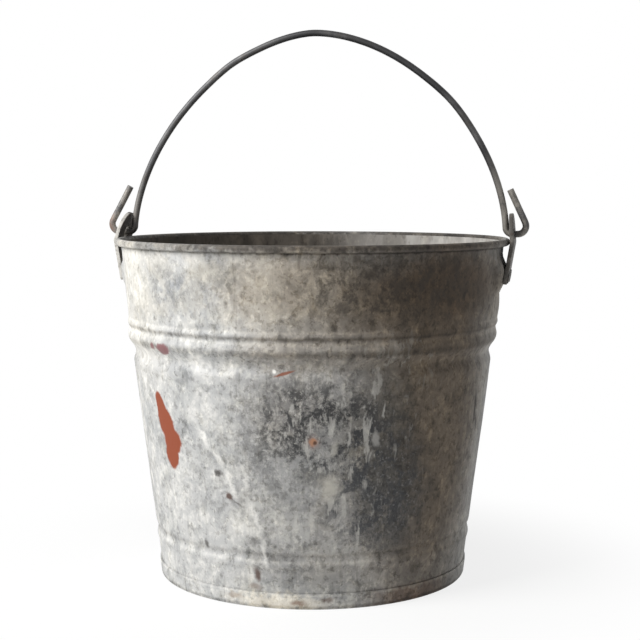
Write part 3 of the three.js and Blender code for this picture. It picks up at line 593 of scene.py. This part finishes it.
def make_ear(label):
    """One strap: its middle line up the leg and round the bend, drawn out, rounded, pierced and finished."""
    lean = math.radians(EAR_LEANS[label])
    line = [(EAR_FOOT_RADIUS, EAR_FOOT + EAR_THICKNESS / 2 * math.sin(EAR_LEG_LEAN), EAR_LEG_LEAN)]
    bend = EAR_LEG_LEAN + lean
    reach = EAR_BEND_RADIUS * math.tan(bend / 2)
    start = (EAR_PLANE - reach * math.sin(EAR_LEG_LEAN), EAR_BEND - reach * math.cos(EAR_LEG_LEAN))
    centre_x = start[0] - EAR_BEND_RADIUS * math.cos(EAR_LEG_LEAN)
    centre_z = start[1] + EAR_BEND_RADIUS * math.sin(EAR_LEG_LEAN)
    for step in range(EAR_BEND_STEPS + 1):
        tilt = EAR_LEG_LEAN - bend * step / EAR_BEND_STEPS
        line.append((centre_x + EAR_BEND_RADIUS * math.cos(tilt),
                     centre_z - EAR_BEND_RADIUS * math.sin(tilt), tilt))
    top_reach = EAR_TOP - EAR_THICKNESS / 2 * math.sin(lean) - EAR_BEND
    line.append((EAR_PLANE - top_reach * math.tan(lean), EAR_BEND + top_reach, -lean))

    bpy.ops.object.select_all(action="DESELECT")
    bpy.ops.mesh.primitive_plane_add(size=1, location=(line[0][0] * MM, 0, line[0][1] * MM))
    bpy.context.object.scale = (EAR_THICKNESS * MM, EAR_WIDTH * MM, 1)
    bpy.context.object.rotation_euler = (0, line[0][2], 0)
    ear = start_piece("ear_strap_" + label)
    bpy.ops.object.mode_set(mode="EDIT")
    bpy.ops.mesh.select_all(action="SELECT")
    for (radius, height, tilt), (next_radius, next_height, next_tilt) in zip(line, line[1:]):
        step = ((next_radius - radius) * MM, 0, (next_height - height) * MM)
        bpy.ops.mesh.extrude_region_move(TRANSFORM_OT_translate={"value": step})
        if next_tilt != tilt:
            bpy.ops.transform.rotate(value=tilt - next_tilt, orient_axis="Y",
                                     center_override=(next_radius * MM, 0, next_height * MM))
    bpy.ops.object.mode_set(mode="OBJECT")
    outward(ear)

    # Rounded top, then the two corners of the foot: from, to, radius, steps
    half = EAR_WIDTH / 2 - 0.01
    corners = [(EAR_TOP - 1.5, EAR_TOP + 2, half - 0.4, 18), (0, EAR_FOOT + 1.5, EAR_CORNER, 6)]
    for low, high, radius, segments in corners:
        select_edges(ear, lambda a, b: abs(a.y - b.y) < 0.1 and abs(a.y) > half - 0.1
                     and low < a.z < high and low < b.z < high and abs(a.z - b.z) < 1.6)
        bpy.ops.mesh.bevel(offset=radius * MM, segments=segments, profile=0.5, affect="EDGES")
        bpy.ops.object.mode_set(mode="OBJECT")

    # The eye, and a broken edge all round
    bpy.ops.object.select_all(action="DESELECT")
    bpy.ops.mesh.primitive_cylinder_add(vertices=40, radius=EAR_EYE_RADIUS * MM, depth=0.03,
                                        location=(EAR_PLANE * MM, 0, PIVOT_HEIGHT * MM),
                                        rotation=(0, math.pi / 2, 0))
    punch = start_piece("eye_punch")
    apply_modifier(ear, "BOOLEAN", object=punch, operation="DIFFERENCE", solver="EXACT")
    bpy.data.objects.remove(punch)
    apply_modifier(ear, "BEVEL", width=EAR_EDGE * MM, segments=3, limit_method="ANGLE",
                   angle_limit=math.radians(40))
    if label == "left":
        ear.data.transform(Matrix.Rotation(math.pi, 4, "Z"))
    shade(ear, 40)
    ear.data.materials.append(strap_material)
    ear.data.materials.append(zinc_and_lit_strap_material)
    # Painted light: the left ear's faces turned to the lamp take the pale finish, partly zinc left on them
    for face in ear.data.polygons:
        face.material_index = int(label == "left" and face.normal.x < 0.3)
    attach(ear, "pail")
    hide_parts("ear_" + label)


for label in ("left", "right"):
    make_ear(label)

# RIVETS
# Two flat steel rivets through each ear's foot and the wall, headed outside and hammered over inside.
# One is turned, and the four are copies of it.
HEAD_RADIUS, HEAD_HEIGHT, SHANK_RADIUS, TAIL_RADIUS, TAIL_HEIGHT = 5.0, 0.6, 2.2, 4.0, 1.5
RIVET_SPACING = 18.0
HEAD_TOP = SEAT_GAP + HEAD_HEIGHT
TAIL_FACE = -(EAR_THICKNESS + SEAT_GAP + WALL_SHEET + SEAT_GAP)
RIVET_SECTION = [
    (0.4, HEAD_TOP), (3.4, HEAD_TOP - 0.03), (4.4, HEAD_TOP - 0.14), (4.85, HEAD_TOP - 0.32),
    (HEAD_RADIUS, SEAT_GAP + 0.12), (HEAD_RADIUS - 0.1, SEAT_GAP), (SHANK_RADIUS, SEAT_GAP),
    (SHANK_RADIUS, TAIL_FACE), (TAIL_RADIUS, TAIL_FACE), (TAIL_RADIUS, TAIL_FACE - 0.4),
    (3.3, TAIL_FACE - 1.0), (2.2, TAIL_FACE - 1.4), (0.4, TAIL_FACE - TAIL_HEIGHT),
]
first_rivet = turned_sheet("rivet_flat", RIVET_SECTION, segments=32)
close_ends()
bpy.ops.object.mode_set(mode="OBJECT")
outward(first_rivet)
shade(first_rivet, 40)
first_rivet.data.materials.append(strap_material)
rivet_tilt = Matrix.Rotation(math.pi / 2 + EAR_LEG_LEAN, 4, "Y")
for label, side in (("left", -1), ("right", 1)):
    for end, depth in (("front", -1), ("back", 1)):
        rivet = first_rivet.copy()
        rivet.data = first_rivet.data.copy()
        rivet.name = rivet.data.name = f"rivet_{label}_{end}_flat"
        bpy.context.collection.objects.link(rivet)
        off_middle = depth * side * RIVET_SPACING / 2
        seat = Vector((ear_leg_radius(RIVET_HEIGHT) + EAR_FACE, off_middle, RIVET_HEIGHT))
        half_turn = Matrix.Rotation(0 if side > 0 else math.pi, 4, "Z")
        rivet.data.transform(half_turn @ Matrix.Translation(seat * MM) @ rivet_tilt)
        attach(rivet, "pail")
        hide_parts(f"rivet_{label}_{end}")
bpy.data.objects.remove(first_rivet)

# BAIL
# One length of 5 mm steel wire, bent by hand to a flat arch with two slight kinks. Each end goes out through
# an ear's eye and is hooked back up outside the ear, so the bail swings in the eyes.
BAIL_RADIUS, BAIL_RISE, APEX_SHIFT, LEG_BEND, HOOK_BEND = 2.5, 150.46, 1.2, 5.0, 6.0
BAIL_EAR_CLEARANCE = 0.8
KINK_DEPTH, KINK_WIDTH, KINK_OUT, KINK_UP = 0.9, 14, 0.6, 0.8
HOOK_STEPS, LEG_STEPS, ARCH_STEPS, ARCH_FROM, ARCH_TURN = 8, 6, 20, 5, 4.25
ENDS = {
    "left": dict(side=-1, lean=EAR_LEANS["left"], reach=0.6, hook_lean=29.0, hook_length=30.0,
                 shoulder=1.72, kink_place=64),
    "right": dict(side=1, lean=EAR_LEANS["right"], reach=1.8, hook_lean=25.0, hook_length=27.0,
                  shoulder=1.81, kink_place=104),
}


def bail_half(side, lean, reach, hook_lean, hook_length, shoulder, kink_place):
    """The wire's middle line from the tip of one hook, through the ear's eye and up towards the crown."""
    def share(rise):
        return (1 - (rise / BAIL_RISE) ** shoulder) ** (1 / shoulder)

    def room(rise):
        above_bend = PIVOT_HEIGHT + rise - EAR_BEND
        ear_inside = EAR_PLANE - EAR_THICKNESS / 2 - above_bend * math.tan(math.radians(lean))
        return (ear_inside - BAIL_EAR_CLEARANCE - BAIL_RADIUS - side * APEX_SHIFT) / share(rise)

    half_span = min(room(LEG_BEND), room(EAR_TOP - PIVOT_HEIGHT))
    points = []
    tilt = math.radians(hook_lean)
    hook_x, hook_z = EAR_PLANE + EAR_THICKNESS / 2 + reach, PIVOT_HEIGHT + HOOK_BEND
    first = (hook_x + HOOK_BEND * math.cos(tilt), hook_z + HOOK_BEND * math.sin(tilt))
    for along in (1.0, 0.66, 0.33):
        points.append((first[0] - math.sin(tilt) * hook_length * along,
                       first[1] + math.cos(tilt) * hook_length * along))
    for step in range(HOOK_STEPS + 1):
        angle = tilt + (-math.pi / 2 - tilt) * step / HOOK_STEPS
        points.append((hook_x + HOOK_BEND * math.cos(angle), hook_z + HOOK_BEND * math.sin(angle)))
    leg_x = half_span * share(LEG_BEND) + side * APEX_SHIFT
    for step in range(LEG_STEPS + 1):
        angle = -math.pi / 2 - math.pi / 2 * step / LEG_STEPS
        points.append((leg_x + LEG_BEND + LEG_BEND * math.cos(angle),
                       PIVOT_HEIGHT + LEG_BEND + LEG_BEND * math.sin(angle)))
    for step in range(ARCH_STEPS):
        angle = math.radians(ARCH_FROM + ARCH_TURN * step)
        rise = BAIL_RISE * math.sin(angle) ** (2 / shoulder)
        radius = half_span * share(rise)
        kink = KINK_DEPTH * math.exp(-((radius - kink_place) / KINK_WIDTH) ** 2)
        points.append((radius + side * APEX_SHIFT + kink * KINK_OUT, PIVOT_HEIGHT + rise + kink * KINK_UP))
    return [Vector((side * x, 0, z)) * MM for x, z in points]


bail_line = bail_half(**ENDS["left"]) + [Vector((APEX_SHIFT, 0, PIVOT_HEIGHT + BAIL_RISE)) * MM]
bail_line += bail_half(**ENDS["right"])[::-1]
bpy.ops.object.select_all(action="DESELECT")
bpy.ops.curve.primitive_bezier_curve_add()
wire = bpy.context.object
spline = wire.data.splines[0]
spline.bezier_points.add(len(bail_line) - 2)
for point, spot in zip(spline.bezier_points, bail_line):
    point.co = spot
    point.handle_left_type = point.handle_right_type = "AUTO"
wire.data.dimensions = "3D"
wire.data.resolution_u = 6
wire.data.bevel_depth = BAIL_RADIUS * MM
wire.data.bevel_resolution = 6
wire.data.use_fill_caps = True
bpy.ops.object.convert(target="MESH")
bail = start_piece("bail_wire")
outward(bail)
shade(bail, 40)
bail.data.materials.append(wire_material)
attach(bail, "bail")
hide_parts("bail")

# STUDIO
# A pale floor that keeps a light shadow of the pail and runs out to white, and one large soft lamp at the
# upper left over a weak even light. The camera stands where the photograph was taken from.
SHADOW_EDGE, WHITE_EDGE, LEAST_WHITE = 0.12, 0.32, 0.82
bpy.ops.object.select_all(action="DESELECT")
bpy.ops.mesh.primitive_circle_add(vertices=96, radius=4.0, fill_type="NGON", location=(0, 0, 0))
floor = start_piece("studio_floor")
floor_material = bpy.data.materials.new("pale_floor")
floor_material.use_nodes = True
tree = floor_material.node_tree
shader = tree.nodes["Principled BSDF"]
shader.inputs["Base Color"].default_value = linear("f4f4f3")
shader.inputs["Roughness"].default_value = 0.9
coords = add(tree, "TexCoord", {})
reach = add(tree, "VectorMath", {0: coords.outputs["Object"]}, operation="LENGTH")
far = add(tree, "MapRange", {0: reach.outputs[1], 1: SHADOW_EDGE, 2: WHITE_EDGE, 3: LEAST_WHITE},
          interpolation_type="SMOOTHSTEP")
path = add(tree, "LightPath", {})
seen = add(tree, "Math", {0: path.outputs["Is Camera Ray"], 1: path.outputs["Is Glossy Ray"]},
           operation="MAXIMUM")
seen = add(tree, "Math", {0: seen.outputs[0], 1: path.outputs["Is Transmission Ray"]}, operation="MAXIMUM")
white = add(tree, "Emission", {0: (1, 1, 1, 1), 1: 1.0})
share = add(tree, "Math", {0: far.outputs[0], 1: seen.outputs[0]}, operation="MULTIPLY")
mixed = add(tree, "MixShader", {0: share.outputs[0], 1: shader.outputs[0], 2: white.outputs[0]})
tree.links.new(mixed.outputs[0], tree.nodes["Material Output"].inputs[0])
floor.data.materials.append(floor_material)
floor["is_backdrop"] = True

world = bpy.data.worlds.new("white_studio")
bpy.context.scene.world = world
world.use_nodes = True
tree = world.node_tree
path = add(tree, "LightPath", {})
seen = add(tree, "Math", {0: path.outputs["Is Camera Ray"], 1: path.outputs["Is Transmission Ray"]},
           operation="MAXIMUM")
seen = add(tree, "Math", {0: seen.outputs[0], 1: path.outputs["Is Glossy Ray"]}, operation="MAXIMUM")
level = add(tree, "MapRange", {0: seen.outputs[0], 3: 0.2, 4: 1.0})
tree.links.new(level.outputs[0], tree.nodes["Background"].inputs["Strength"])
tree.nodes["Background"].inputs["Color"].default_value = (1, 1, 1, 1)

LAMP_PLACE, LAMP_TARGET = Vector((-1.10, -0.95, 1.15)), Vector((0, 0, 0.16))
bpy.ops.object.light_add(type="AREA", location=LAMP_PLACE)
lamp = bpy.context.object
lamp.name = "key_left"
lamp.data.size = 0.9
lamp.data.energy = 40
lamp.rotation_euler = (LAMP_TARGET - LAMP_PLACE).to_track_quat("-Z", "Y").to_euler()

VIEW_TURN, VIEW_DROP = math.radians(11.0), math.radians(5.509)
CAMERA_DISTANCE, CAMERA_SIDE, CAMERA_HEIGHT = 1.0675, 0.00567, 0.2954
SENSOR_WIDTH, FOCAL_PIXELS, FRAME_PIXELS = 36.0, 1393.5, 640
bpy.ops.object.camera_add(
    location=(CAMERA_SIDE * math.cos(VIEW_TURN) + CAMERA_DISTANCE * math.sin(VIEW_TURN),
              CAMERA_SIDE * math.sin(VIEW_TURN) - CAMERA_DISTANCE * math.cos(VIEW_TURN), CAMERA_HEIGHT),
    rotation=(math.pi / 2 - VIEW_DROP, 0, VIEW_TURN))
camera = bpy.context.object
camera.data.sensor_width = SENSOR_WIDTH
camera.data.lens = SENSOR_WIDTH * FOCAL_PIXELS / FRAME_PIXELS
bpy.context.scene.camera = camera
bpy.context.scene.view_settings.view_transform = "Standard"

low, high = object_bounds()
